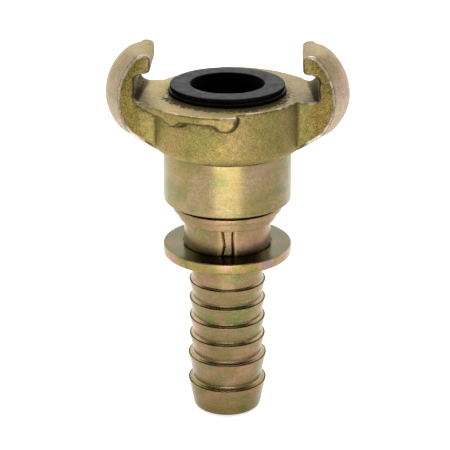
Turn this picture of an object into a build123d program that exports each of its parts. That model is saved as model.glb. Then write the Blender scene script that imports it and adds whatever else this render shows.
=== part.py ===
from build123d import *
import math
import os

# Twist-claw hose coupling half with a swivel hose tail.
# Origin: centre of the hose tail's bottom end. +Z runs up the bore to the claws,
# which stand along +X and -X.

# ---------------------------------------------------------------- driving sizes (mm)
claw_pitch = 42.0            # nose to nose, the standard spacing of this coupling family
claw_front_y = -10.0         # flat front side of both claws
claw_rear_y = 11.2           # rear side at the arms, where they are widest
claw_tip_y = 8.5             # both sides lean in to this at the tip
claw_bulge = 4.65            # how far the claw's back swells between its two sides
tip_bulge = 4.3              # the same at the tip
face_z = 97.5                # top face of the head
claw_top_z = 110.15

body_r = 22.0                # plain wall of the cast head
flange_r = 25.5              # locking flange of the cast head
flange_depth = 2.6
skirt_r = 18.3               # machined skirt under the cast head
skirt_bottom_z = 66.0
skirt_top_z = 81.9
skirt_fillet = 0.5
skirt_groove_height = 0.45   # turned line where the skirt meets the cast wall
skirt_groove_depth = 0.35
neck_fillet = 3.1

passage_r = 7.5              # air passage through the hose tail
spigot_r = 11.0              # turned spigot that the head swivels on
running_gap = 0.06
spigot_top_z = 91.2
spigot_chamfer = 0.6
mouth_flare = 1.4            # conical mouth at the top of the passage
mouth_depth = 2.4

collar_r = 18.6
collar_bottom_z = 49.1
collar_top_z = 52.25
seat_z = 51.85               # floor of the shallow recess that the sleeve stands in
seat_r = 13.0
collar_under_fillet = 0.8
collar_top_fillet = 0.35

long_barb_r = 11.6
short_barb_r = 11.2
barb_root_r = 10.0
barb_land = 0.25             # plain band under each barb's edge
barb_lean = 0.12             # the band leans in by this
barb_shelf_rise = 0.45       # the shelf above each barb's edge slopes up to the root
tail_end_r = 9.85
tail_end_fillet = 1.0
long_barb_edges = [8.7, 17.0]
short_barb_pitch = 5.8
top_barb_z = 40.7
short_barb_count = 4
tail_shank_r = 10.4

bush_shank_r = 14.5
bush_boss_r = 14.2
bush_rim_r = 15.85
bush_rim_z = 63.1
bush_rim_height = 1.6
bush_groove_r = 13.0         # deep groove between the rim and the skirt
bush_bottom_z = 60.4
bush_top_z = 73.0
bush_top_chamfer = 0.6

sleeve_r = 12.55
sleeve_gap = 0.15
sleeve_foot_chamfer = 0.5
sleeve_top_chamfer = 0.2
slot_width = 3.5             # at the outside of the sleeve
slot_inner_width = 1.9
slot_angle = -88.0

seal_hole_r = 10.45
seal_lip_r = 16.2
seal_rim_r = 16.6
seal_top_z = 99.95
seal_neck_r = 15.1
seal_foot_r = 15.9
seal_edge = 0.2              # moulded edge break
seal_rim_top = 1.0           # heights above the head's top face
seal_waist = 1.15
seal_lip_foot = 1.4
seal_flare = 0.6             # the hole widens by this below the top face
seal_flare_depth = 1.6

edge = 0.3                   # small machined edge break
end_play = 0.3               # between the spigot's top and the head
over = 1.0                   # cutting sections reach this far past the part

# ---------------------------------------------------------------- derived sizes
bore_r = spigot_r + running_gap
washer_play = 0.1
washer_thickness = 1.2
snap_groove_z = bush_top_z + 1.55
snap_groove_depth = 0.5
snap_width = 1.3
chamber_r = 14.2
chamber_bottom_z = bush_top_z + 0.4
chamber_top_z = 77.3
washer_inner_r = spigot_r + 0.3
washer_outer_r = chamber_r - 0.3
backup_thickness = 1.2
gasket_groove_r = 9.2
gasket_groove_width = 3.4
gasket_groove_z = [80.4, 86.2]
ring_clearance = 0.05
ring_play = 2 * ring_clearance
wiper_z = 61.3
wiper_height = 1.7
wiper_r = 12.2
recess_floor_z = 93.6
recess_lip_z = 95.4
recess_r = seal_neck_r + 0.1
undercut_r = seal_foot_r + 0.2

os.makedirs("parts", exist_ok=True)


def finish(builder, label):
    builder.part.label = label
    export_step(builder.part, f"parts/{label}.step")


def turned_profile(points):
    """Closed half section in the XZ plane, from (radius, height) corners."""
    Polyline(*points, close=True)


def ring(inner_r, outer_r, bottom_z, top_z):
    """Section of a plain turned ring."""
    return [
        (inner_r, bottom_z),
        (outer_r, bottom_z),
        (outer_r, top_z),
        (inner_r, top_z),
    ]


# ---------------------------------------------------------------- hose tail
barb_edges = [(z, long_barb_r) for z in long_barb_edges]
for step in reversed(range(short_barb_count)):
    barb_edges.append((top_barb_z - step * short_barb_pitch, short_barb_r))

tail_outline = [(passage_r, 0), (tail_end_r, 0)]
for z, radius in barb_edges:
    tail_outline += [(radius, z - barb_land), (radius - barb_lean, z), (barb_root_r, z + barb_shelf_rise)]
tail_outline[-1] = (tail_shank_r, top_barb_z + barb_shelf_rise)
tail_outline += [
    (tail_shank_r, collar_bottom_z),
    (collar_r, collar_bottom_z),
    (collar_r, collar_top_z),
    (seat_r, collar_top_z),
    (seat_r, seat_z),
    (spigot_r, seat_z),
    (spigot_r, spigot_top_z),
    (passage_r + mouth_flare, spigot_top_z),
    (passage_r, spigot_top_z - mouth_depth),
]

with BuildPart() as hose_tail:
    with BuildSketch(Plane.XZ):
        with BuildLine():
            turned_profile(tail_outline)
        make_face()
    revolve(axis=Axis.Z)
    # groove for the retaining ring, then one groove for each O-ring with its backup ring
    with BuildSketch(Plane.XZ):
        with BuildLine():
            turned_profile(
                ring(
                    spigot_r - snap_groove_depth,
                    spigot_r + over,
                    snap_groove_z,
                    snap_groove_z + snap_width,
                )
            )
        make_face()
        for groove_z in gasket_groove_z:
            with BuildLine():
                turned_profile(
                    ring(gasket_groove_r, spigot_r + over, groove_z, groove_z + gasket_groove_width)
                )
            make_face()
    revolve(axis=Axis.Z, mode=Mode.SUBTRACT)
    collar_edges = hose_tail.edges().filter_by(GeomType.CIRCLE).filter_by(
        lambda e: abs(e.radius - collar_r) < 0.01
    )
    fillet(collar_edges.sort_by(Axis.Z)[0], radius=collar_under_fillet)
    fillet(
        hose_tail.edges().filter_by(GeomType.CIRCLE).filter_by(
            lambda e: abs(e.radius - collar_r) < 0.01 and e.center().Z > collar_top_z - 0.1
        ),
        radius=collar_top_fillet,
    )
    fillet(
        hose_tail.edges().filter_by(GeomType.CIRCLE).filter_by(
            lambda e: abs(e.radius - tail_end_r) < 0.01
        ),
        radius=tail_end_fillet,
    )
    chamfer(
        hose_tail.edges().filter_by(GeomType.CIRCLE).filter_by(
            lambda e: abs(e.radius - spigot_r) < 0.01 and e.center().Z > spigot_top_z - 0.1
        ),
        length=spigot_chamfer,
    )
finish(hose_tail, "hose_tail")

# ---------------------------------------------------------------- claw head
# one claw: an outline at each station across its width, with its back pushed out by the bulge
back_centre_x = 12.75
back_r = 17.0
heel_centre_x = 16.1
heel_r = 13.65
heel_angle = math.radians(-43.5)
heel_slope = 0.62           # of the straight underside from the heel to the body
root_x = 19.6
root_share = 0.3             # share of the bulge that reaches the root
arm_inner_x = 17.0           # the arm ends inside the head's wall
waist_z = 97.0               # where the claw's back is widest
lean_z = 99.0                # the sides lean in above this
nose_x = claw_pitch / 2
hook_wall_x = 25.5
hook_roof_z = 104.4
nose_bottom_z = 105.0
tip_corner = 0.9
lip_corner = 0.6
hook_corner = 1.0
front_floor_corner = 0.7     # inner corner of the hook at the claw's front
rear_floor_corner = 3.2      # and at its rear
claw_stations = [claw_front_y, -8.5, -5.0, 0.0, 5.0, 8.5, claw_rear_y]


def swell(y, bulge, front_y, rear_y):
    """Bulge at y: full midway between the two sides and nothing at them."""
    across = (2 * y - front_y - rear_y) / (rear_y - front_y)
    return bulge * max(0.0, 1 - across ** 2)


def claw_section(y):
    """Claw outline in the plane at this Y, as one closed wire."""
    push = swell(y, claw_bulge, claw_front_y, claw_rear_y)
    tip_push = swell(y, tip_bulge, -claw_tip_y, claw_tip_y)
    back_angle = math.asin((claw_top_z - waist_z) / back_r)
    widest = (back_centre_x + back_r + push, waist_z)
    top_x = back_centre_x + back_r * math.cos(back_angle) + tip_push
    heel_end = (
        heel_centre_x + push + heel_r * math.cos(heel_angle),
        waist_z + heel_r * math.sin(heel_angle),
    )
    foot_x = root_x + root_share * push
    root = (foot_x, heel_end[1] - heel_slope * (heel_end[0] - foot_x))
    across = (y - claw_front_y) / (claw_rear_y - claw_front_y)
    floor_corner = front_floor_corner + across * (rear_floor_corner - front_floor_corner)
    cut_in = floor_corner * (1 - math.cos(math.radians(45)))
    ThreePointArc(
        widest,
        (
            back_centre_x + (push + tip_push) / 2 + back_r * math.cos(back_angle / 2),
            waist_z + back_r * math.sin(back_angle / 2),
        ),
        (top_x, claw_top_z),
    )
    Polyline(
        (top_x, claw_top_z),
        (nose_x + tip_corner, claw_top_z),
        (nose_x, claw_top_z - tip_corner),
        (nose_x, nose_bottom_z + lip_corner),
        (nose_x + lip_corner, nose_bottom_z),
        (hook_wall_x - hook_corner, hook_roof_z),
        (hook_wall_x, hook_roof_z - hook_corner),
        (hook_wall_x, face_z + floor_corner),
    )
    ThreePointArc(
        (hook_wall_x, face_z + floor_corner),
        (hook_wall_x - cut_in, face_z + cut_in),
        (hook_wall_x - floor_corner, face_z),
    )
    Polyline(
        (hook_wall_x - floor_corner, face_z),
        (arm_inner_x, face_z),
        (arm_inner_x, root[1]),
        root,
        heel_end,
    )
    ThreePointArc(
        heel_end,
        (
            heel_centre_x + push + heel_r * math.cos(heel_angle / 2),
            waist_z + heel_r * math.sin(heel_angle / 2),
        ),
        widest,
    )


with BuildPart() as claw:
    for station in claw_stations:
        with BuildSketch(Plane.XZ.offset(-station)):
            with BuildLine():
                claw_section(station)
            make_face()
    loft()
    # the sides lean in above the waist
    with BuildSketch(Plane.YZ):
        for side_y, tip_y in ((claw_front_y, -claw_tip_y), (claw_rear_y, claw_tip_y)):
            with BuildLine():
                Polyline(
                    (side_y, lean_z),
                    (tip_y, claw_top_z),
                    (tip_y, claw_top_z + over),
                    (2 * side_y, claw_top_z + over),
                    (2 * side_y, lean_z),
                    close=True,
                )
            make_face()
    extrude(amount=2 * claw_pitch, mode=Mode.SUBTRACT)

# locking flange: a sector of rim with a ramped stop and a rounded detent lobe at its free end
flange_start = -163.0
flange_meets_x = 22.6        # where the run-out leaves the flange's circle
flange_end = -82.6
stop_angle = -122.5
lobe_angle = -89.8
lobe_width = 6.4
lobe_depth = 4.3
lobe_corner = 2.9
stop_length = 5.0
stop_depth = 4.2
stop_foot = (-1.4, -0.3)     # flat foot of the stop, between its ramp and its short end
stop_tail = 1.9
stub_r = body_r - 3          # the lobe and the stop start inside the wall
stub_length = 8.0
root_drop = 0.2              # the run-out starts this far under the top face

with BuildPart() as lock_flange:
    with BuildSketch(Plane.XY.offset(face_z - flange_depth)):
        with BuildLine():
            outer_arc = CenterArc((0, 0), flange_r, flange_start, flange_end - flange_start)
            inner_arc = CenterArc((0, 0), stub_r, flange_start, flange_end - flange_start)
            Line(outer_arc @ 0, inner_arc @ 0)
            Line(outer_arc @ 1, inner_arc @ 1)
        make_face()
    extrude(amount=flange_depth)

# the flange runs out along the arm's front side to the hook's corner
with BuildPart() as flange_root:
    with BuildSketch(Plane.XY.offset(face_z - flange_depth)):
        with BuildLine():
            Polyline(
                (-hook_wall_x, claw_front_y),
                (-flange_meets_x, -math.sqrt(flange_r ** 2 - flange_meets_x ** 2)),
                (-flange_meets_x, claw_front_y + over),
                (-hook_wall_x, claw_front_y + over),
                close=True,
            )
        make_face()
    extrude(amount=flange_depth)
    with BuildSketch(Plane.XZ):
        with BuildLine():
            Polyline(
                (-hook_wall_x - over, face_z - flange_depth - over),
                (-hook_wall_x - over, face_z - root_drop),
                (-hook_wall_x, face_z - root_drop),
                (-flange_meets_x, face_z - flange_depth),
                (-flange_meets_x, face_z - flange_depth - over),
                close=True,
            )
        make_face()
    extrude(amount=2 * body_r, mode=Mode.SUBTRACT)


def radial_plane(angle):
    """Upright plane that faces outwards at this angle, with its origin on the head's top face."""
    across = (-math.sin(math.radians(angle)), math.cos(math.radians(angle)), 0)
    outward = (math.cos(math.radians(angle)), math.sin(math.radians(angle)), 0)
    return Plane(origin=(0, 0, face_z), x_dir=across, z_dir=outward)


with BuildPart() as lobe:
    with BuildSketch(radial_plane(lobe_angle).offset(stub_r)):
        with BuildLine():
            corners = [
                (-lobe_width / 2, 0),
                (-lobe_width / 2, -lobe_depth),
                (lobe_width / 2, -lobe_depth),
                (lobe_width / 2, 0),
            ]
            FilletPolyline(*corners, radius=lobe_corner)
            Line(corners[-1], corners[0])
        make_face()
    extrude(amount=stub_length)
    with BuildSketch(Plane.XY.offset(face_z - stub_length)):
        Circle(flange_r)
    extrude(amount=2 * stub_length, mode=Mode.INTERSECT)

with BuildPart() as stop:
    with BuildSketch(radial_plane(stop_angle).offset(stub_r)):
        with BuildLine():
            Polyline(
                (-stop_length, 0),
                (-stop_length, -flange_depth),
                (stop_foot[0], -stop_depth),
                (stop_foot[1], -stop_depth),
                (stop_tail, -flange_depth),
                (stop_tail, 0),
                close=True,
            )
        make_face()
    extrude(amount=stub_length)
    with BuildSketch(Plane.XY.offset(face_z - stub_length)):
        Circle(flange_r)
    extrude(amount=2 * stub_length, mode=Mode.INTERSECT)

with BuildPart() as claw_head:
    with BuildSketch(Plane.XZ):
        with BuildLine():
            Polyline(
                (bush_shank_r, skirt_bottom_z),
                (skirt_r, skirt_bottom_z),
                (skirt_r, skirt_top_z - skirt_groove_height),
                (skirt_r - skirt_groove_depth, skirt_top_z - skirt_groove_height),
                (skirt_r - skirt_groove_depth, skirt_top_z),
                (body_r - neck_fillet, skirt_top_z),
            )
            ThreePointArc(
                (body_r - neck_fillet, skirt_top_z),
                (
                    body_r - neck_fillet + neck_fillet * math.sin(math.radians(45)),
                    skirt_top_z + neck_fillet - neck_fillet * math.cos(math.radians(45)),
                ),
                (body_r, skirt_top_z + neck_fillet),
            )
            Polyline(
                (body_r, skirt_top_z + neck_fillet),
                (body_r, face_z),
                (recess_r, face_z),
                (recess_r, recess_lip_z),
                (undercut_r, recess_lip_z),
                (undercut_r, recess_floor_z),
                (seal_hole_r, recess_floor_z),
                (seal_hole_r, spigot_top_z + end_play),
                (bore_r, spigot_top_z + end_play),
                (bore_r, chamber_top_z),
                (chamber_r, chamber_top_z),
                (chamber_r, chamber_bottom_z),
                (bush_shank_r, chamber_bottom_z),
                (bush_shank_r, skirt_bottom_z),
            )
        make_face()
    revolve(axis=Axis.Z)
    add(claw.part)
    add(claw.part.mirror(Plane.YZ))
    with PolarLocations(0, 2):
        add(lock_flange.part)
        add(flange_root.part)
        add(lobe.part)
        add(stop.part)
    # the claws and the flange keep out of the seal's recess
    with BuildSketch(Plane.XY.offset(recess_lip_z)):
        Circle(recess_r)
    extrude(amount=face_z - recess_lip_z, mode=Mode.SUBTRACT)
    fillet(
        claw_head.edges().filter_by(GeomType.CIRCLE).filter_by(
            lambda e: abs(e.radius - skirt_r) < 0.01 and e.center().Z < skirt_bottom_z + 0.1
        ),
        radius=skirt_fillet,
    )
finish(claw_head, "claw_head")

# ---------------------------------------------------------------- face seal
with BuildPart() as face_seal:
    with BuildSketch(Plane.XZ):
        with BuildLine():
            turned_profile(
                [
                    (seal_hole_r + seal_flare, recess_floor_z),
                    (seal_foot_r, recess_floor_z),
                    (seal_foot_r, recess_lip_z - ring_play),
                    (seal_neck_r, recess_lip_z - ring_play),
                    (seal_neck_r, face_z),
                    (seal_rim_r - seal_edge, face_z),
                    (seal_rim_r, face_z + seal_edge),
                    (seal_rim_r, face_z + seal_rim_top - seal_edge),
                    (seal_rim_r - seal_edge, face_z + seal_rim_top),
                    (seal_lip_r - edge, face_z + seal_waist),
                    (seal_lip_r, face_z + seal_lip_foot),
                    (seal_lip_r, seal_top_z - seal_edge),
                    (seal_lip_r - seal_edge, seal_top_z),
                    (seal_hole_r + seal_edge, seal_top_z),
                    (seal_hole_r, seal_top_z - seal_edge),
                    (seal_hole_r, face_z - seal_flare),
                    (seal_hole_r + seal_flare, face_z - seal_flare_depth),
                ]
            )
        make_face()
    revolve(axis=Axis.Z)
finish(face_seal, "face_seal")

# ---------------------------------------------------------------- retaining bush
with BuildPart() as retaining_bush:
    with BuildSketch(Plane.XZ):
        with BuildLine():
            turned_profile(
                [
                    (bore_r, bush_bottom_z),
                    (bush_boss_r - edge, bush_bottom_z),
                    (bush_boss_r, bush_bottom_z + edge),
                    (bush_boss_r, bush_rim_z),
                    (bush_rim_r, bush_rim_z),
                    (bush_rim_r, bush_rim_z + bush_rim_height),
                    (bush_groove_r, bush_rim_z + bush_rim_height),
                    (bush_groove_r, skirt_bottom_z + edge),
                    (bush_shank_r, skirt_bottom_z + edge),
                    (bush_shank_r, bush_top_z - bush_top_chamfer),
                    (bush_shank_r - bush_top_chamfer, bush_top_z),
                    (bore_r + edge, bush_top_z),
                    (bore_r, bush_top_z - edge),
                    (bore_r, wiper_z + wiper_height),
                    (wiper_r, wiper_z + wiper_height),
                    (wiper_r, wiper_z),
                    (bore_r, wiper_z),
                ]
            )
        make_face()
    revolve(axis=Axis.Z)
finish(retaining_bush, "retaining_bush")

# ---------------------------------------------------------------- split sleeve on the neck
sleeve_top_z = bush_bottom_z - sleeve_gap
sleeve_inner_r = spigot_r + sleeve_gap
slot_direction = (math.cos(math.radians(slot_angle)), math.sin(math.radians(slot_angle)), 0)
with BuildPart() as split_sleeve:
    with BuildSketch(Plane.XZ):
        with BuildLine():
            turned_profile(
                [
                    (sleeve_inner_r, seat_z),
                    (sleeve_r - sleeve_foot_chamfer, seat_z),
                    (sleeve_r, seat_z + sleeve_foot_chamfer),
                    (sleeve_r, sleeve_top_z - sleeve_top_chamfer),
                    (sleeve_r - sleeve_top_chamfer, sleeve_top_z),
                    (sleeve_inner_r, sleeve_top_z),
                ]
            )
        make_face()
    revolve(axis=Axis.Z)
    # the slot, drawn in a plane whose X axis points outwards through it
    with BuildSketch(Plane(origin=(0, 0, seat_z - over), x_dir=slot_direction)):
        with BuildLine():
            Polyline(
                (spigot_r - over, -slot_inner_width / 2),
                (sleeve_inner_r, -slot_inner_width / 2),
                (sleeve_r + ring_play, -slot_width / 2),
                (sleeve_r + ring_play, slot_width / 2),
                (sleeve_inner_r, slot_inner_width / 2),
                (spigot_r - over, slot_inner_width / 2),
                close=True,
            )
        make_face()
    extrude(amount=sleeve_top_z - seat_z + 2 * over, mode=Mode.SUBTRACT)
finish(split_sleeve, "split_sleeve")


# ---------------------------------------------------------------- plain inner rings
def build_ring(label, inner_r, outer_r, bottom_z, height):
    with BuildPart() as part:
        with BuildSketch(Plane.XZ):
            with BuildLine():
                turned_profile(ring(inner_r, outer_r, bottom_z, bottom_z + height))
            make_face()
        revolve(axis=Axis.Z)
    finish(part, label)


build_ring(
    "wiper_ring",
    spigot_r + ring_play,
    wiper_r - ring_clearance,
    wiper_z + ring_clearance,
    wiper_height - ring_play,
)
build_ring(
    "lower_thrust_washer",
    washer_inner_r,
    washer_outer_r,
    bush_top_z + washer_play,
    washer_thickness,
)
build_ring(
    "upper_thrust_washer",
    washer_inner_r,
    washer_outer_r,
    chamber_top_z - washer_thickness,
    washer_thickness,
)

# ---------------------------------------------------------------- retaining ring
snap_inner_r = spigot_r - 0.45
snap_outer_r = 12.6
snap_gap_angle = 16.0
lug_r = 1.65
lug_hole_r = 0.7
lug_angle = 14.0
lug_centre_r = spigot_r + 0.95
gap_reach = 30.0             # side length of the wedge that opens the ring
gap_half_width = gap_reach * math.sin(math.radians(snap_gap_angle / 2))
with BuildPart() as snap_ring:
    with BuildSketch(Plane.XY.offset(snap_groove_z + ring_clearance)):
        Circle(snap_outer_r)
        for side in (-1, 1):
            with PolarLocations(lug_centre_r, 1, start_angle=90 + side * lug_angle):
                Circle(lug_r)
        Circle(snap_inner_r, mode=Mode.SUBTRACT)
        with BuildLine():
            Polyline(
                (0, 0),
                (gap_half_width, gap_reach),
                (-gap_half_width, gap_reach),
                close=True,
            )
        make_face(mode=Mode.SUBTRACT)
        for side in (-1, 1):
            with PolarLocations(lug_centre_r, 1, start_angle=90 + side * lug_angle):
                Circle(lug_hole_r, mode=Mode.SUBTRACT)
    extrude(amount=snap_width - ring_play)
finish(snap_ring, "snap_ring")

# ---------------------------------------------------------------- swivel seals
cord_r = (spigot_r - gasket_groove_r) / 2 - 0.02
cord_centre_r = (spigot_r + gasket_groove_r) / 2 - 0.01
for name, groove_z in zip(("lower", "upper"), gasket_groove_z):
    with BuildPart() as o_ring:
        with BuildSketch(Plane.XZ):
            with Locations((cord_centre_r, groove_z + gasket_groove_width - ring_play - cord_r)):
                Circle(cord_r)
        revolve(axis=Axis.Z)
    finish(o_ring, f"{name}_o_ring")
    build_ring(
        f"{name}_backup_ring",
        gasket_groove_r + ring_clearance,
        spigot_r - ring_clearance,
        groove_z + ring_clearance,
        backup_thickness,
    )
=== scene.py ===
import math

import bmesh
import bpy
import numpy as np
from mathutils import Matrix, Vector, noise


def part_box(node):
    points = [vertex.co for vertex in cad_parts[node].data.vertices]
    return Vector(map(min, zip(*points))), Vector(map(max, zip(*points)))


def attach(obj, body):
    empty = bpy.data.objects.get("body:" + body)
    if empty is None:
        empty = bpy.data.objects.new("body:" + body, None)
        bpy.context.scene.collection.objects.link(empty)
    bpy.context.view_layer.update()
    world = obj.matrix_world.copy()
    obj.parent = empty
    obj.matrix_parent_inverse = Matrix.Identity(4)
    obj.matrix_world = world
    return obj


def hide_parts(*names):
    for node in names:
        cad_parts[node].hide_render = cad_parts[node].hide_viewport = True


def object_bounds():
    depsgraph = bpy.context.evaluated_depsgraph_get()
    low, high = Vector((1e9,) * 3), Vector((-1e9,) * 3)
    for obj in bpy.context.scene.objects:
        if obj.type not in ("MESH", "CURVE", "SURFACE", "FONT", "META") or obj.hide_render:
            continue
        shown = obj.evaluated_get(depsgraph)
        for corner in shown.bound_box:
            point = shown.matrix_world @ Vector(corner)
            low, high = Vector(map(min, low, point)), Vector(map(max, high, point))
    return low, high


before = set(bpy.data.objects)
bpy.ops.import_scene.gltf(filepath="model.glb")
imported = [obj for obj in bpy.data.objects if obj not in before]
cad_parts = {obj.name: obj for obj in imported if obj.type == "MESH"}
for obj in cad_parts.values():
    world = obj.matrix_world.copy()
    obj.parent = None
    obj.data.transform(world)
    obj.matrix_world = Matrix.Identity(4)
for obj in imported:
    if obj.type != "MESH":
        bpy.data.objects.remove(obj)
cad_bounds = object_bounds()
MM = 0.001
TURNED_SEGMENTS = 256

CAMERA_TILT = math.radians(21.43)
CAMERA_TURN = math.radians(2.0)
CAMERA_DISTANCE = 0.4741
CAMERA_AIM = Vector((-0.00068, 0.0, 0.0571))
CAMERA_LENS = 130.8
FLOOR_HALF = 3.0


def heights(node):
    """Lowest and highest point of a CAD node, in metres."""
    low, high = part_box(node)
    return low[2], high[2]


# ------------------------------------------------------------------ camera, floor and light
def make_camera():
    forward = Vector((0.0, math.cos(CAMERA_TILT), -math.sin(CAMERA_TILT)))
    data = bpy.data.cameras.new("camera")
    data.sensor_width = 36.0
    data.lens = CAMERA_LENS
    data.clip_start = 0.01
    data.clip_end = 10.0
    camera = bpy.data.objects.new("camera", data)
    camera.location = Matrix.Rotation(CAMERA_TURN, 3, "Z") @ (CAMERA_AIM - forward * CAMERA_DISTANCE)
    camera.rotation_euler = (math.radians(90.0) - CAMERA_TILT, 0.0, CAMERA_TURN)
    bpy.context.scene.collection.objects.link(camera)
    bpy.context.scene.camera = camera


def make_floor():
    mesh = bpy.data.meshes.new("floor")
    corners = [(x * FLOOR_HALF, y * FLOOR_HALF, 0) for x, y in ((-1, -1), (1, -1), (1, 1), (-1, 1))]
    mesh.from_pydata(corners, [], [(0, 1, 2, 3)])
    floor = bpy.data.objects.new("floor", mesh)
    bpy.context.scene.collection.objects.link(floor)
    mat = bpy.data.materials.new("pale_floor")
    mat.use_nodes = True
    bsdf = mat.node_tree.nodes["Principled BSDF"]
    bsdf.inputs["Base Color"].default_value = (0.85, 0.85, 0.85, 1.0)
    bsdf.inputs["Emission Color"].default_value = (1.0, 1.0, 1.0, 1.0)
    bsdf.inputs["Emission Strength"].default_value = 0.7
    bsdf.inputs["Roughness"].default_value = 0.9
    bsdf.inputs["Specular IOR Level"].default_value = 0.1
    floor.data.materials.append(mat)


def make_light(name, location, target, size, power):
    data = bpy.data.lights.new(name, "AREA")
    data.shape = "RECTANGLE"
    data.size, data.size_y = size
    data.energy = power
    lamp = bpy.data.objects.new(name, data)
    lamp.location = location
    lamp.rotation_euler = (Vector(target) - Vector(location)).to_track_quat("-Z", "Y").to_euler()
    bpy.context.scene.collection.objects.link(lamp)


def make_world():
    """A white screen behind the object and a dark room in front of it."""
    world = bpy.data.worlds.new("studio")
    bpy.context.scene.world = world
    world.use_nodes = True
    nodes, links = world.node_tree.nodes, world.node_tree.links
    background = nodes["Background"]
    coords = nodes.new("ShaderNodeTexCoord")
    split = nodes.new("ShaderNodeSeparateXYZ")
    behind = nodes.new("ShaderNodeMapRange")
    behind.inputs["From Min"].default_value = -1.0
    ramp = nodes.new("ShaderNodeValToRGB")
    ramp.color_ramp.interpolation = "EASE"
    stops = ramp.color_ramp.elements
    stops[0].position, stops[0].color = 0.40, (0.04, 0.04, 0.04, 1.0)
    stops[1].position, stops[1].color = 0.72, (1.0, 1.0, 1.0, 1.0)
    turned = nodes.new("ShaderNodeMapping")
    turned.inputs["Rotation"].default_value = (0, 0, math.radians(-4))
    links.new(coords.outputs["Generated"], turned.inputs["Vector"])
    links.new(turned.outputs[0], split.inputs[0])
    links.new(split.outputs["Y"], behind.inputs["Value"])
    links.new(behind.outputs[0], ramp.inputs[0])
    links.new(ramp.outputs[0], background.inputs[0])
    background.inputs[1].default_value = 1.7


# ------------------------------------------------------------------ mesh helpers
def rounded_outline(corners):
    """Closed outline of (radius, height) points from (radius, height, rounding) corners, in metres."""
    points = []
    count = len(corners)
    for i, (r, z, rounding) in enumerate(corners):
        here = Vector((r, z))
        before = Vector(corners[i - 1][:2])
        after = Vector(corners[(i + 1) % count][:2])
        if rounding <= 0:
            points.append(here)
            continue
        to_before = before - here
        to_after = after - here
        reach = min(rounding, 0.45 * to_before.length, 0.45 * to_after.length)
        start = here + to_before.normalized() * reach
        end = here + to_after.normalized() * reach
        steps = 5 if rounding > 0.15 * MM else 2
        for k in range(steps + 1):
            t = k / steps
            points.append(start * (1 - t) ** 2 + here * 2 * t * (1 - t) + end * t ** 2)
    return points


def spread_outline(points, longest):
    """The same outline with its long straight runs divided."""
    out = []
    for i, p in enumerate(points):
        q = points[(i + 1) % len(points)]
        parts = max(1, math.ceil((q - p).length / longest))
        out += [p.lerp(q, k / parts) for k in range(parts)]
    return out


def new_object(name, mesh):
    obj = bpy.data.objects.new(name, mesh)
    bpy.context.scene.collection.objects.link(obj)
    return obj


def lathe(name, corners, longest=1.5 * MM):
    """Turned piece from a closed outline of (radius, height, rounding) corners, in metres."""
    outline = spread_outline(rounded_outline(corners), longest)
    count = len(outline)
    vertices, faces = [], []
    for s in range(TURNED_SEGMENTS):
        angle = 2 * math.pi * s / TURNED_SEGMENTS
        vertices += [(p.x * math.cos(angle), p.x * math.sin(angle), p.y) for p in outline]
    for s in range(TURNED_SEGMENTS):
        a, b = s * count, (s + 1) % TURNED_SEGMENTS * count
        for i in range(count):
            j = (i + 1) % count
            faces.append((a + i, a + j, b + j, b + i))
    mesh = bpy.data.meshes.new(name)
    mesh.from_pydata(vertices, [], faces)
    mesh.validate()
    obj = new_object(name, mesh)
    finish_mesh(obj)
    return obj


def in_mm(corners):
    """The same corners, given in millimetres, in metres."""
    return [(r * MM, z * MM, rounding * MM) for r, z, rounding in corners]


def finish_mesh(obj, sharp=None):
    """Outward normals and smooth shading; sharp is the angle in degrees that stays an edge."""
    bm = bmesh.new()
    bm.from_mesh(obj.data)
    bmesh.ops.recalc_face_normals(bm, faces=bm.faces)
    bm.to_mesh(obj.data)
    bm.free()
    obj.data.shade_smooth()
    if sharp:
        obj.data.set_sharp_from_angle(angle=math.radians(sharp))


# ------------------------------------------------------------------ cast head
CAST_BOTTOM = 81.7 * MM     # below this the head is turned, see turned_skirt
VOXEL = 0.335 * MM
BORE_R = 11.06 * MM         # the head's bore round the spigot, as in the CAD
# the values below are in millimetres
TIP_ROUND_Z = 106.5         # the claws' tips are rounded over above this
TIP_HALF_WIDTH = 8.3
CLAW_START_X = 21.5
CLAW_LEAN_Z = 99.0          # the claws' flat sides lean in from here up to their tops
CLAW_TOP_Z = 110.15
FRONT_SIDE_Y, FRONT_LEAN = -10.0, 1.5
BACK_SIDE_Y, BACK_LEAN = 11.2, 2.7
GRAIN, SWELL = 0.045, 0.10  # depth of the cast skin's fine and broad unevenness
BEAD_HEIGHT, BEAD_FURROW = 0.13, 0.05


def neighbour_sums(mesh):
    """Edge ends as arrays, and each vertex's number of neighbours."""
    ends = np.empty(len(mesh.edges) * 2, dtype=np.int64)
    mesh.edges.foreach_get("vertices", ends)
    a, b = ends[0::2], ends[1::2]
    valence = np.bincount(np.concatenate([a, b]), minlength=len(mesh.vertices)).astype(float)
    return a, b, np.maximum(valence, 1)


def smoothed(values, neighbours, rounds, pull):
    """Rows of values, one for each vertex, each drawn towards the mean of its neighbours."""
    a, b, valence = neighbours
    values = values.copy()
    for _ in range(rounds):
        total = np.zeros_like(values)
        np.add.at(total, a, values[b])
        np.add.at(total, b, values[a])
        values += pull * (total / valence[:, None] - values)
    return values


def read_points(mesh):
    out = np.empty(len(mesh.vertices) * 3)
    mesh.vertices.foreach_get("co", out)
    return out.reshape(-1, 3)


def read_normals(mesh):
    out = np.empty(len(mesh.vertices) * 3)
    mesh.vertex_normals.foreach_get("vector", out)
    return out.reshape(-1, 3)


def write_attribute(mesh, name, values):
    """One number for each vertex, for the materials to read."""
    attribute = mesh.attributes.new(name, "FLOAT", "POINT")
    attribute.data.foreach_set("value", values.astype(np.float32))


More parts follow.
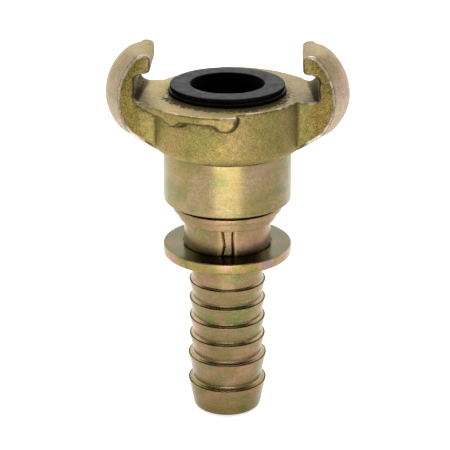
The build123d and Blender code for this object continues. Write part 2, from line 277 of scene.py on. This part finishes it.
def upper_head():
    """The CAD head above CAST_BOTTOM as a closed mesh, remeshed to even small faces."""
    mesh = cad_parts["claw_head"].data.copy()
    mesh.name = "cast_head"
    mesh.materials.clear()
    obj = new_object("cast_head", mesh)
    bm = bmesh.new()
    bm.from_mesh(mesh)
    bmesh.ops.remove_doubles(bm, verts=bm.verts, dist=0.5e-6)
    cut = bmesh.ops.bisect_plane(
        bm,
        geom=bm.verts[:] + bm.edges[:] + bm.faces[:],
        plane_co=(0, 0, CAST_BOTTOM),
        plane_no=(0, 0, 1),
        clear_inner=True,
    )
    rim = [e for e in cut["geom_cut"] if isinstance(e, bmesh.types.BMEdge)]
    bmesh.ops.triangle_fill(bm, edges=rim, use_beauty=True, use_dissolve=False)
    bmesh.ops.recalc_face_normals(bm, faces=bm.faces)
    bm.to_mesh(mesh)
    bm.free()

    remesh = obj.modifiers.new("skin", "REMESH")
    remesh.mode = "VOXEL"
    remesh.voxel_size = VOXEL
    evaluated = obj.evaluated_get(bpy.context.evaluated_depsgraph_get())
    skin = bpy.data.meshes.new_from_object(evaluated)
    obj.modifiers.clear()
    obj.data = skin
    bpy.data.meshes.remove(mesh)
    skin.name = "cast_head"
    return obj


def cast_roughness(points):
    """Height of the cast skin's unevenness at each point, in millimetres."""
    offset = Vector((7.0, 3.0, 1.0))
    rough = np.empty(len(points))
    for i, p in enumerate(points):
        v = Vector(p) / MM
        grain = noise.noise(v * 1.35) * 0.5 + noise.noise(v * 2.6 + offset) * 0.5
        swell = noise.noise(v * 0.16)
        rough[i] = GRAIN * grain + SWELL * swell
    return rough


def claw_bead(points, normals, stand_out):
    """1 on the outer edges of the claws' flat sides, which carry the thin bead that trimming leaves."""
    x, y, z = (points / MM).T
    lean = np.clip((z - CLAW_LEAN_Z) / (CLAW_TOP_Z - CLAW_LEAN_Z), 0, 1)
    front = y - (FRONT_SIDE_Y + FRONT_LEAN * lean)
    back = (BACK_SIDE_Y - BACK_LEAN * lean) - y
    off_side = np.where(y < 0, front, back)
    outer = np.clip((np.sign(x) * normals[:, 0] + 0.15) / 0.2, 0, 1)
    past_start = np.clip((np.abs(x) - CLAW_START_X) / 1.5, 0, 1)
    on_claw = past_start * np.clip(1.5 - np.abs(off_side), 0, 1) * outer
    return np.clip((stand_out - 0.10) / 0.04, 0, 1) * on_claw


def cast_head():
    """The cast claws, flanges and body: softened edges and a sand-cast skin, in real geometry."""
    obj = upper_head()
    skin = obj.data
    neighbours = neighbour_sums(skin)
    points = smoothed(read_points(skin), neighbours, 5, 0.5)
    # the claws' tips are rounded over between their flat sides
    above = np.clip((points[:, 2] / MM - TIP_ROUND_Z) / 2, 0, 1)
    tip = above * np.clip(TIP_HALF_WIDTH - np.abs(points[:, 1]) / MM, 0, 1)
    points = smoothed(points, neighbours, 30, 0.6 * tip[:, None])
    skin.vertices.foreach_set("co", points.ravel())
    skin.update()
    normals = read_normals(skin)

    # how far each point stands out of its surroundings: edges above zero, inside corners below
    broad = smoothed(points, neighbours, 14, 0.6)
    stand_out = ((points - broad) * normals).sum(1) / MM
    bead = claw_bead(points, normals, stand_out)
    spread = smoothed(bead[:, None], neighbours, 6, 0.6)[:, 0]
    beside = np.clip(6.0 * (spread - bead), 0, 1)
    height = cast_roughness(points) + BEAD_HEIGHT * bead - BEAD_FURROW * beside
    points += normals * (height * MM)[:, None]
    points = np.clip(points, cad_bounds[0], cad_bounds[1])

    # the bore stays clear of the spigot that turns in it
    from_axis = np.hypot(points[:, 0], points[:, 1])
    crowding = (from_axis < BORE_R) & (points[:, 2] < heights("hose_tail")[1] + 0.1 * MM)
    points[crowding, :2] *= (BORE_R / from_axis[crowding])[:, None]
    skin.vertices.foreach_set("co", points.ravel())

    write_attribute(skin, "stand_out", stand_out)
    write_attribute(skin, "bead", bead)
    write_attribute(skin, "beside_bead", beside)
    skin.shade_smooth()
    skin.update()
    return obj


# ------------------------------------------------------------------ turned pieces
# in millimetres
BARBS = [(8.7, 11.6), (17.0, 11.6), (23.3, 11.2), (29.1, 11.2), (34.9, 11.2), (40.7, 11.2)]  # height, radius
TAIL_BORE_R = 7.5
NECK_R = 10.4
SPIGOT_R = 11.0
COLLAR_R = 18.6
COLLAR_LOW, COLLAR_HIGH = 49.1, 52.25
BUSH_WALL_R = 14.2
BUSH_RIM_R = 15.85
BUSH_RIM_LOW, BUSH_RIM_HIGH = 63.1, 64.55
SEAL_FOOT_R = 15.9
SEAL_LIP_R = 16.2


def turned_skirt():
    """The machined lower wall of the head."""
    low = heights("claw_head")[0]
    wall = 18.3 * MM
    bore = 14.5 * MM
    # the wall's top steps in and ends a little way inside the casting
    neck = wall - 0.4 * MM
    top = CAST_BOTTOM + 0.6 * MM
    return lathe("turned_skirt", [
        (bore, low, 0.2 * MM),
        (wall, low, 0.5 * MM),
        (wall, 81.45 * MM, 0.25 * MM),
        (neck, 81.5 * MM, 0.1 * MM),
        (neck, top, 0),
        (bore, top, 0),
    ])


def hose_tail():
    """The barbed tail with its safety collar and the spigot inside the head."""
    top = heights("hose_tail")[1]
    corners = [(TAIL_BORE_R, 0, 0.3), (9.85, 0, 1.0)]
    for i, (z, r) in enumerate(BARBS):
        root = NECK_R if i == len(BARBS) - 1 else 10.0
        corners += [
            (r - 0.03, z - 0.3, 0.1),
            (r, z - 0.06, 0.05),
            (r - 0.1, z + 0.03, 0.03),
            (r - 0.35, z - 0.22, 0.03),
            (r - 0.48, z + 0.22, 0.1),
            (root, z + 0.55, 0.6),
        ]
    corners += [
        (NECK_R, COLLAR_LOW, 0.4),
        (COLLAR_R, COLLAR_LOW, 0.8),
        (COLLAR_R, COLLAR_HIGH, 0.35),
        (13.0, COLLAR_HIGH, 0.1),
        (13.0, COLLAR_HIGH - 0.4, 0.05),
        (SPIGOT_R, COLLAR_HIGH - 0.4, 0.1),
        (SPIGOT_R, top / MM, 0.6),
        (8.9, top / MM, 0.2),
        (TAIL_BORE_R, top / MM - 2.4, 0.5),
    ]
    tail = lathe("barbed_tail", in_mm(corners), longest=1.6 * MM)
    # marks the groove behind each barb's edge, where shade is painted dark
    x, y, z = (read_points(tail.data) / MM).T
    groove_shade = np.zeros(len(x))
    for barb_z, barb_r in BARBS:
        away = np.hypot(np.hypot(x, y) - (barb_r - 0.35), z - (barb_z - 0.22))
        groove_shade = np.maximum(groove_shade, np.clip((0.30 - away) / 0.15, 0, 1))
    write_attribute(tail.data, "barb_groove_shade", groove_shade)
    return tail


def bush():
    """The turned bush with its rim under the skirt."""
    low, high = heights("retaining_bush")
    low, high = low / MM, high / MM
    corners = [
        (11.06, low, 0.2),
        (BUSH_WALL_R, low, 0.3),
        (BUSH_WALL_R, BUSH_RIM_LOW, 0.05),
        (BUSH_RIM_R, BUSH_RIM_LOW, 0.1),
        (BUSH_RIM_R, BUSH_RIM_HIGH, 0.2),
        (13.0, BUSH_RIM_HIGH, 0.1),
        (13.0, 66.3, 0.1),
        (14.5, 66.3, 0.05),
        (14.5, high, 0.5),
        (11.06, high, 0.3),
    ]
    return lathe("swivel_bush", in_mm(corners))


def seal():
    """The rubber seal with its lip groove and its foot in the head."""
    low, high = heights("face_seal")
    low, high = low / MM, high / MM
    corners = [
        (11.05, low, 0.2),
        (SEAL_FOOT_R, low, 0.2),
        (SEAL_FOOT_R, 95.3, 0.2),
        (15.1, 95.3, 0.1),
        (15.1, 97.55, 0.1),
        (16.6, 97.55, 0.3),
        (16.6, 98.4, 0.35),
        (15.95, 98.7, 0.25),
        (SEAL_LIP_R, 99.0, 0.25),
        (SEAL_LIP_R, high, 0.35),
        (10.45, high, 0.35),
        (10.45, 96.9, 0.3),
        (11.05, 95.9, 0.3),
    ]
    return lathe("rubber_seal", in_mm(corners))


def sleeve():
    """The split sleeve: a turned strip closed round the neck, with rounded lips at its slot."""
    low, high = heights("split_sleeve")
    inner, outer = 11.15 * MM, 12.55 * MM
    segments = 260
    lip_round = 1.1 * MM
    vertices, faces = [], []
    slot_at = math.radians(-88.0)
    half_slot = 1.35 * MM
    # the strip's cross-section, as (radius, height)
    wall = rounded_outline([
        (outer, low, 0.45 * MM),
        (outer, high, 0.25 * MM),
        (inner, high, 0.05 * MM),
        (inner, low, 0.05 * MM),
    ])
    wall = spread_outline(wall, 0.6 * MM)
    count = len(wall)
    for s in range(segments + 1):
        t = s / segments
        from_end = min(t, 1 - t) * (2 * math.pi * outer - 2 * half_slot)
        for p in wall:
            up = (p.y - low) / (high - low)
            # the slot's two edges are cut unevenly
            if t >= 0.5:
                wave = -0.7 * MM * math.sin(math.pi * (1 - up) ** 1.36)
            else:
                wave = 0.08 * MM * math.sin(math.pi * 2.3 * up)
            half_angle = (half_slot + wave) / outer
            angle = slot_at + half_angle + t * (2 * math.pi - 2 * half_angle)
            # the lip rolls in towards the neck
            drop = 0.0
            if from_end < lip_round:
                u = 1 - from_end / lip_round
                drop = (1 - math.sqrt(max(0.0, 1 - u * u))) * 0.85
            r = inner + (p.x - inner) * (1 - drop)
            vertices.append((r * math.cos(angle), r * math.sin(angle), p.y))
    for s in range(segments):
        a, b = s * count, (s + 1) * count
        for i in range(count):
            j = (i + 1) % count
            faces.append((a + i, a + j, b + j, b + i))
    faces.append(tuple(range(count)))
    faces.append(tuple(range(segments * count, (segments + 1) * count)))
    mesh = bpy.data.meshes.new("neck_sleeve")
    mesh.from_pydata(vertices, [], faces)
    mesh.validate()
    obj = new_object("neck_sleeve", mesh)
    finish_mesh(obj, sharp=50)
    return obj


# ------------------------------------------------------------------ materials
class Nodes:
    """Short calls for building one material's node tree."""

    def __init__(self, name):
        self.mat = bpy.data.materials.new(name)
        self.mat.use_nodes = True
        self.tree = self.mat.node_tree
        self.bsdf = self.tree.nodes["Principled BSDF"]
        self.coords = self.tree.nodes.new("ShaderNodeTexCoord")

    def link(self, source, target):
        self.tree.links.new(source, target)

    def scaled(self, x, y, z):
        node = self.tree.nodes.new("ShaderNodeMapping")
        node.inputs["Scale"].default_value = (x, y, z)
        self.link(self.coords.outputs["Object"], node.inputs["Vector"])
        return node.outputs["Vector"]

    def noise(self, vector, scale, detail=3.0, rough=0.5, distort=0.0):
        node = self.tree.nodes.new("ShaderNodeTexNoise")
        node.inputs["Scale"].default_value = scale
        node.inputs["Detail"].default_value = detail
        node.inputs["Roughness"].default_value = rough
        node.inputs["Distortion"].default_value = distort
        self.link(vector, node.inputs["Vector"])
        return node.outputs["Fac"]

    def ramp(self, value, stops):
        """Straight ramp through stops of (position, grey level or colour)."""
        node = self.tree.nodes.new("ShaderNodeValToRGB")
        node.color_ramp.interpolation = "LINEAR"
        elements = node.color_ramp.elements
        while len(elements) < len(stops):
            elements.new(0.5)
        for element, (position, colour) in zip(elements, stops):
            element.position = position
            colour = colour if isinstance(colour, tuple) else (colour, colour, colour)
            element.color = (*colour, 1.0)
        self.link(value, node.inputs["Fac"])
        return node.outputs["Color"]

    def mix(self, a, b, fac, blend="MIX"):
        node = self.tree.nodes.new("ShaderNodeMix")
        node.data_type = "RGBA"
        node.blend_type = blend
        for source, socket in ((fac, node.inputs[0]), (a, node.inputs[6]), (b, node.inputs[7])):
            if isinstance(source, (int, float)):
                socket.default_value = source
            elif isinstance(source, tuple):
                socket.default_value = (*source, 1.0)
            else:
                self.link(source, socket)
        return node.outputs[2]

    def math(self, operation, a, b=0.0):
        node = self.tree.nodes.new("ShaderNodeMath")
        node.operation = operation
        for source, socket in ((a, node.inputs[0]), (b, node.inputs[1])):
            if isinstance(source, (int, float)):
                socket.default_value = source
            else:
                self.link(source, socket)
        return node.outputs[0]

    def times(self, first, *others):
        for value in others:
            first = self.math("MULTIPLY", first, value)
        return first

    def less(self, value):
        """One minus the value."""
        return self.math("SUBTRACT", 1.0, value)

    def axes(self, vector):
        """The x, y and z parts of a vector."""
        node = self.tree.nodes.new("ShaderNodeSeparateXYZ")
        self.link(vector, node.inputs[0])
        return node.outputs["X"], node.outputs["Y"], node.outputs["Z"]

    def from_axis(self, x, y):
        squares = self.math("ADD", self.math("POWER", x, 2.0), self.math("POWER", y, 2.0))
        return self.math("POWER", squares, 0.5)

    def fade(self, place, start, end, low=0.0, high=1.0, per_metre=20.0):
        """From low to high between two places in metres, which per_metre brings within 0 to 1."""
        stops = [(per_metre * start, low), (per_metre * end, high)]
        return self.ramp(self.math("MULTIPLY", place, per_metre), stops)

    def across(self, x, stops):
        """A ramp over the object's width, 0 at 25 mm to the left and 1 at 25 mm to the right."""
        return self.ramp(self.math("ADD", self.math("MULTIPLY", x, 20.0), 0.5), stops)

    def bump(self, height, strength, distance, below=None):
        node = self.tree.nodes.new("ShaderNodeBump")
        node.inputs["Strength"].default_value = strength
        node.inputs["Distance"].default_value = distance
        self.link(height, node.inputs["Height"])
        if below is not None:
            self.link(below, node.inputs["Normal"])
        return node.outputs["Normal"]

    def hidden(self, reach, low, high):
        """0 in the open, 1 in corners and gaps that light hardly reaches."""
        node = self.tree.nodes.new("ShaderNodeAmbientOcclusion")
        node.samples = 8
        node.inputs["Distance"].default_value = reach
        return self.ramp(node.outputs["AO"], [(low, 1.0), (high, 0.0)])

    def attribute(self, name):
        node = self.tree.nodes.new("ShaderNodeAttribute")
        node.attribute_name = name
        return node.outputs["Fac"]

    def set(self, **values):
        """Links or sets the surface's sockets, named with _ for each space."""
        for name, value in values.items():
            socket = self.bsdf.inputs[name.replace("_", " ")]
            if hasattr(value, "is_linked") or hasattr(value, "links"):
                self.link(value, socket)
            else:
                socket.default_value = value


def cast_chromate():
    """Sand-cast steel under yellow chromate, worn pink on the claws' backs, with painted shade in its corners
    and painted highlights on its edges.
    """
    m = Nodes("cast_chromate")
    plain = m.scaled(1, 1, 1)
    x, y, z = m.axes(m.coords.outputs["Object"])
    facing_x, facing_y, facing_z = m.axes(m.coords.outputs["Normal"])
    off_centre = m.math("ABSOLUTE", x)
    side = m.math("SIGN", x)

    # masks for the parts of the casting
    on_claw = m.fade(off_centre, 0.021, 0.025)
    beside_claw = m.fade(off_centre, 0.0185, 0.020)
    above = m.fade(z, 0.098, 0.102, per_metre=5.0)
    side_face = m.ramp(m.math("ABSOLUTE", facing_y), [(0.75, 0.0), (0.93, 1.0)])
    outward = m.ramp(m.times(side, facing_x), [(0.0, 0.0), (0.2, 1.0)])
    topside = m.times(above, m.ramp(facing_z, [(0.3, 0.0), (0.6, 1.0)]))
    claw_side = m.times(on_claw, side_face)
    claw_back = m.times(on_claw, m.math("MAXIMUM", outward, topside), m.less(side_face))
    flat_top = m.times(m.ramp(facing_z, [(0.8, 0.0), (0.95, 1.0)]), m.less(above))
    faces_up = m.ramp(facing_z, [(0.0, 0.0), (0.4, 1.0)])
    edge = m.ramp(m.attribute("stand_out"), [(0.06, 0.0), (0.15, 1.0)])

    # the chromate film, worn on the claws' backs and golden on their flat sides
    patches = m.noise(plain, 110.0, 4.0, 0.55, 0.3)
    colour = m.ramp(patches, [
        (0.30, (0.22, 0.195, 0.062)), (0.5, (0.285, 0.22, 0.070)), (0.7, (0.34, 0.235, 0.11))])
    worn = m.ramp(m.noise(plain, 150.0, 3.0, 0.6, 0.5), [
        (0.3, (0.34, 0.32, 0.20)), (0.5, (0.45, 0.355, 0.26)), (0.7, (0.56, 0.37, 0.32))])
    less_worn = m.fade(z, 0.097, 0.108, 0.85, 0.4, per_metre=5.0)
    colour = m.mix(colour, worn, m.times(claw_back, less_worn))
    # painted light and shade: the body is painted lighter to the left and darker to the right
    painted_side_light = m.across(x, [(0.1, 1.18), (0.45, 1.0), (0.62, 0.86), (0.9, 0.78)])
    colour = m.mix(colour, painted_side_light, m.less(m.math("MAXIMUM", on_claw, above)), "MULTIPLY")
    gold = m.ramp(m.noise(plain, 90.0, 2.0, 0.5, 0.4), [
        (0.35, (0.115, 0.108, 0.024)), (0.5, (0.142, 0.104, 0.025)), (0.65, (0.165, 0.098, 0.023))])
    colour = m.mix(colour, gold, m.times(claw_side, 0.85))
    specks = m.ramp(m.noise(plain, 2600.0, 2.0, 0.6), [
        (0.36, 0.40), (0.48, 0.95), (0.56, 1.05), (0.66, 1.6)])
    strength = m.math("ADD", 0.5, m.times(claw_side, 0.35))
    strength = m.math("SUBTRACT", strength, m.times(m.math("MAXIMUM", claw_back, flat_top), 0.2))
    colour = m.mix(colour, specks, strength, "MULTIPLY")

    # edges: painted shade where they face down, a painted highlight in places where they face up
    colour = m.mix(colour, (0.06, 0.04, 0.02), m.times(m.math("SUBTRACT", 0.9, m.times(faces_up, 0.9)), edge))
    painted_edge_highlight = m.ramp(m.noise(plain, 420.0, 3.0, 0.7), [(0.45, 0.0), (0.6, 0.75)])
    colour = m.mix(colour, (0.66, 0.48, 0.42), m.times(edge, faces_up, painted_edge_highlight))
    # the trimmed bead with a painted highlight, and painted shadow in the furrow beside it
    blotches = m.ramp(m.noise(plain, 900.0, 3.0, 0.7), [(0.40, 0.25), (0.56, 1.0)])
    bead_shadow = m.times(m.attribute("beside_bead"), m.less(side_face), blotches)
    colour = m.mix(colour, (0.07, 0.045, 0.035), m.times(bead_shadow, 0.85))
    uneven = m.ramp(m.noise(plain, 300.0, 4.0, 0.7), [(0.36, 0.3), (0.56, 1.0)])
    colour = m.mix(colour, (0.80, 0.68, 0.58), m.times(m.attribute("bead"), uneven, 0.85))

    # painted shade in inside corners, weaker in the upright ones between the claws and the body
    hollow = m.ramp(m.times(m.attribute("stand_out"), -1.0), [(0.025, 0.0), (0.08, 1.0)])
    upright = m.ramp(m.math("ABSOLUTE", facing_z), [(0.15, 1.0), (0.40, 0.0)])
    hollow = m.times(hollow, m.math("SUBTRACT", 0.85, m.times(beside_claw, upright, 0.65)))
    colour = m.mix(colour, (0.012, 0.008, 0.003), hollow)
    # painted shade where the light hardly reaches, broken up by noise
    broken = m.ramp(m.noise(plain, 1100.0, 3.0, 0.6), [(0.42, 0.15), (0.56, 1.0)])
    painted_shade = m.times(m.hidden(4.5 * MM, 0.45, 0.92), broken)
    # painted shade also on the hooks' inner walls, breaking up towards the open face
    inward = m.ramp(m.times(side, facing_x, -1.0), [(0.1, 0.0), (0.6, 1.0)])
    inward = m.times(inward, beside_claw, m.fade(z, 0.099, 0.106, 1.0, 0.2, per_metre=5.0))
    in_hook = m.math("ADD", m.times(inward, 0.15), m.noise(plain, 1000.0, 3.0, 0.65))
    in_hook = m.ramp(in_hook, [(0.60, 0.0), (0.70, 0.85)])
    in_hook = m.times(in_hook, m.ramp(inward, [(0.02, 0.0), (0.25, 1.0)]))
    painted_shade = m.math("MAXIMUM", painted_shade, m.times(in_hook, m.less(side_face)))
    colour = m.mix(colour, (0.045, 0.030, 0.011), painted_shade)
    # a broken ring of painted shadow on the face round the seal, mostly in front
    seal_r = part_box("face_seal")[1][0]
    ring = m.fade(m.from_axis(x, y), seal_r, seal_r + 0.00475, 1.0, 0.0, per_metre=40.0)
    front = m.fade(m.times(y, -1.0), 0.0, 0.0165, 0.05, 1.0)
    ring = m.math("ADD", m.times(ring, front, 0.75), m.noise(plain, 1000.0, 3.0, 0.65))
    ring = m.times(m.ramp(ring, [(0.66, 0.0), (0.80, 1.0)]), flat_top, 0.85)
    colour = m.mix(colour, (0.03, 0.022, 0.010), ring)

    # where shade is painted the surface is also rough and not metallic
    dull = m.math("MAXIMUM", m.math("MAXIMUM", painted_shade, ring), hollow)
    metal = m.less(m.times(dull, 0.85))
    rough = m.ramp(m.noise(plain, 700.0, 3.0), [(0.3, 0.48), (0.7, 0.66)])
    smoother = m.ramp(m.noise(plain, 900.0, 3.0), [(0.3, 0.38), (0.7, 0.52)])
    rough = m.mix(rough, smoother, flat_top)
    rough = m.mix(rough, (0.95, 0.95, 0.95), dull)
    fine = m.bump(m.noise(plain, 2300.0, 3.0, 0.6), 0.75, 0.08 * MM)
    m.set(Base_Color=colour, Metallic=metal, Roughness=rough, Normal=fine, Specular_IOR_Level=0.1)
    return m.mat


def turned_chromate(name, gold, pink, green, shift, rough_range, rim=0.0, painted_side_light=None):
    """Turned, zinc plated and chromated steel with the film's pink and green tints.

    gold is the film's range of colour, shift moves the tints, rim is how strongly the collar's wall is
    tinted, and the last argument is a ramp over the object's width that paints one side lighter and the other
    darker, as painted light and shade.
    """
    m = Nodes(name)
    plain = m.scaled(1, 1, 1)
    x, y, z = m.axes(plain)
    facing_z = m.axes(m.coords.outputs["Normal"])[2]
    node = m.tree.nodes.new("ShaderNodeMapping")
    node.inputs["Location"].default_value = (shift, shift * 2, shift * 3)
    node.inputs["Scale"].default_value = (1, 1, 1.6)
    m.link(m.coords.outputs["Object"], node.inputs["Vector"])
    moved = node.outputs["Vector"]
    flat_top = m.ramp(facing_z, [(0.9, 0.0), (0.98, 1.0)])

    colour = m.ramp(m.noise(plain, 60.0, 3.0), [(0.3, gold[0]), (0.7, gold[1])])
    colour = m.mix(colour, pink, m.ramp(m.noise(moved, 85.0, 3.0, 0.55, 0.6), [(0.46, 0.0), (0.66, 1.0)]))
    colour = m.mix(colour, green, m.ramp(m.noise(moved, 120.0, 2.0, 0.5, 0.6), [(0.52, 0.0), (0.72, 1.0)]))
    # the collar's outer wall shows the film's colours most
    wall = m.fade(m.from_axis(x, y), 0.018175, 0.0183, 0.0, rim, per_metre=40.0)
    film = m.ramp(m.noise(m.scaled(1, 1, 0.8), 190.0, 3.0, 0.5, 0.4), [
        (0.30, (0.09, 0.16, 0.09)),
        (0.42, (0.17, 0.19, 0.045)),
        (0.52, (0.29, 0.21, 0.06)),
        (0.62, (0.36, 0.21, 0.16)),
        (0.72, (0.26, 0.20, 0.26)),
    ])
    colour = m.mix(colour, film, wall)
    # painted light and shade: one side is painted lighter and the other darker
    if painted_side_light:
        colour = m.mix(colour, m.across(x, painted_side_light), 1.0, "MULTIPLY")
    # painted light on the upward-facing steps above the barbs
    step_light = m.ramp(facing_z, [(0.25, 0.0), (0.5, 0.5)])
    below_collar = m.fade(z, 0.047, 0.048, 1.0, 0.0, per_metre=10.0)
    colour = m.mix(colour, (0.42, 0.33, 0.18), m.times(step_light, below_collar))
    # hairline scratches in the film
    hair = m.ramp(m.noise(plain, 420.0, 2.0, 0.5, 1.4), [(0.482, 0.0), (0.5, 1.0), (0.518, 0.0)])
    sparse = m.ramp(m.noise(plain, 150.0, 2.0), [(0.50, 0.0), (0.62, 0.55)])
    colour = m.mix(colour, (0.50, 0.40, 0.34), m.times(hair, sparse))
    # turning marks and fine mottling
    streaks = m.noise(m.scaled(60, 60, 4200), 1.0, 3.0, 0.6)
    colour = m.mix(colour, m.ramp(streaks, [(0.3, 0.80), (0.7, 1.12)]), 0.7, "MULTIPLY")
    mottle = m.ramp(m.noise(plain, 1500.0, 3.0, 0.65), [(0.32, 0.72), (0.5, 1.0), (0.68, 1.16)])
    colour = m.mix(colour, mottle, 0.6, "MULTIPLY")
    # faces that point straight up get the film's olive-green tint and are painted darker, as painted shade
    colour = m.mix(colour, m.mix(colour, (0.40, 0.45, 0.20), 1.0, "MULTIPLY"), flat_top)
    low_end = m.fade(z, 0.0025, 0.015, 1.0, 0.0, per_metre=40.0)
    colour = m.mix(colour, m.mix(colour, (0.66, 0.76, 0.50), 1.0, "MULTIPLY"), low_end)
    # painted shade in gaps, and painted shade in the groove behind each barb
    colour = m.mix(colour, (0.015, 0.012, 0.006), m.hidden(0.6 * MM, 0.36, 0.68))
    groove_shade = m.ramp(m.attribute("barb_groove_shade"), [(0.12, 0.0), (0.35, 0.95)])
    colour = m.mix(colour, (0.010, 0.007, 0.003), groove_shade)

    rough = m.ramp(m.noise(plain, 240.0, 4.0, 0.6), [(0.3, rough_range[0]), (0.7, rough_range[1])])
    rough = m.mix(rough, (0.22, 0.22, 0.22), flat_top)
    lines = m.bump(streaks, 0.35, 0.01 * MM)
    fine = m.bump(m.noise(plain, 900.0, 4.0, 0.65), 0.25, 0.02 * MM, lines)
    m.set(
        Base_Color=colour,
        Metallic=1.0,
        Roughness=rough,
        Normal=fine,
        Anisotropic=0.6,
        Anisotropic_Rotation=0.25,
    )
    tangent = m.tree.nodes.new("ShaderNodeTangent")
    tangent.direction_type = "RADIAL"
    tangent.axis = "Z"
    m.link(tangent.outputs[0], m.bsdf.inputs["Tangent"])
    return m.mat


def black_rubber():
    """Black rubber, smoother on its top face than on its sides."""
    m = Nodes("black_rubber")
    plain = m.scaled(1, 1, 1)
    dust = m.ramp(m.noise(plain, 900.0, 4.0, 0.7), [
        (0.45, (0.0015, 0.0013, 0.0013)), (0.75, (0.008, 0.005, 0.005))])
    rough = m.ramp(m.noise(plain, 350.0, 3.0), [(0.3, 0.38), (0.7, 0.52)])
    facing_z = m.axes(m.coords.outputs["Normal"])[2]
    rough = m.mix((0.8, 0.8, 0.8), rough, m.ramp(facing_z, [(0.4, 0.0), (0.9, 1.0)]))
    m.set(
        Base_Color=dust,
        Roughness=rough,
        Normal=m.bump(m.noise(plain, 1500.0, 3.0), 0.3, 0.015 * MM),
        Specular_IOR_Level=0.085,
        Specular_Tint=(1.0, 0.86, 0.82, 1.0),
    )
    return m.mat


def plain_metal(name, dark, light, low, high):
    m = Nodes(name)
    streaks = m.noise(m.scaled(80, 80, 3000), 1.0, 3.0, 0.6)
    m.set(
        Base_Color=m.ramp(streaks, [(0.3, dark), (0.7, light)]),
        Metallic=1.0,
        Roughness=m.ramp(m.noise(m.scaled(1, 1, 1), 500.0), [(0.3, low), (0.7, high)]),
        Normal=m.bump(streaks, 0.3, 0.01 * MM),
    )
    return m.mat


def slide_plastic():
    m = Nodes("slide_plastic")
    plain = m.scaled(1, 1, 1)
    m.set(
        Base_Color=m.ramp(m.noise(plain, 400.0), [(0.3, (0.80, 0.80, 0.77)), (0.7, (0.88, 0.88, 0.86))]),
        Roughness=m.ramp(m.noise(plain, 600.0), [(0.3, 0.35), (0.7, 0.5)]),
        Normal=m.bump(m.noise(plain, 1800.0), 0.2, 0.01 * MM),
    )
    return m.mat


def dress(obj, material, body=None, node=None):
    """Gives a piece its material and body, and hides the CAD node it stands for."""
    obj.data.materials.clear()
    obj.data.materials.append(material)
    if body:
        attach(obj, body)
    if node:
        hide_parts(node)


def build():
    cast = cast_chromate()
    skirt_gold = turned_chromate(
        "skirt_chromate",
        gold=((0.24, 0.185, 0.065), (0.28, 0.215, 0.085)),
        pink=(0.32, 0.23, 0.13),
        green=(0.19, 0.185, 0.075),
        shift=0.013,
        rough_range=(0.30, 0.38),
        # the skirt is painted darker to the right, as painted shade
        painted_side_light=[(0.1, 1.05), (0.6, 0.98), (0.74, 0.80), (0.9, 0.78)],
    )
    tail_gold = turned_chromate(
        "tail_chromate",
        gold=((0.195, 0.147, 0.058), (0.245, 0.168, 0.082)),
        pink=(0.33, 0.19, 0.115),
        green=(0.155, 0.17, 0.05),
        shift=0.031,
        rough_range=(0.24, 0.34),
        rim=0.8,
    )
    rubber = black_rubber()
    dress(cast_head(), cast, "head_body", "claw_head")
    dress(turned_skirt(), skirt_gold, "head_body", "claw_head")
    dress(hose_tail(), tail_gold, "tail_body", "hose_tail")
    dress(bush(), tail_gold, "head_body", "retaining_bush")
    dress(sleeve(), tail_gold, "tail_body", "split_sleeve")
    dress(seal(), rubber, "head_body", "face_seal")
    bronze_dark, bronze_light = (0.45, 0.28, 0.12), (0.60, 0.40, 0.20)
    # the pieces inside the head keep their CAD meshes
    inner = {
        "wiper_ring": rubber,
        "lower_o_ring": rubber,
        "upper_o_ring": rubber,
        "lower_backup_ring": slide_plastic(),
        "upper_backup_ring": slide_plastic(),
        "lower_thrust_washer": plain_metal("washer_bronze", bronze_dark, bronze_light, 0.25, 0.4),
        "upper_thrust_washer": plain_metal("washer_bronze", bronze_dark, bronze_light, 0.25, 0.4),
        "snap_ring": plain_metal("spring_steel", (0.10, 0.10, 0.105), (0.16, 0.16, 0.17), 0.3, 0.45),
    }
    for name, material in inner.items():
        dress(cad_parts[name], material)
        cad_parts[name].data.shade_smooth()


make_camera()
make_floor()
make_world()
make_light("front_box", (0.012, -0.30, 0.035), (0, 0, 0.07), (0.24, 0.05), 0.35)
make_light("top_box", (0.0, 0.0, 1.2), (0, 0, 0), (1.0, 1.0), 6.0)
bpy.context.scene.view_settings.view_transform = "Standard"
build()
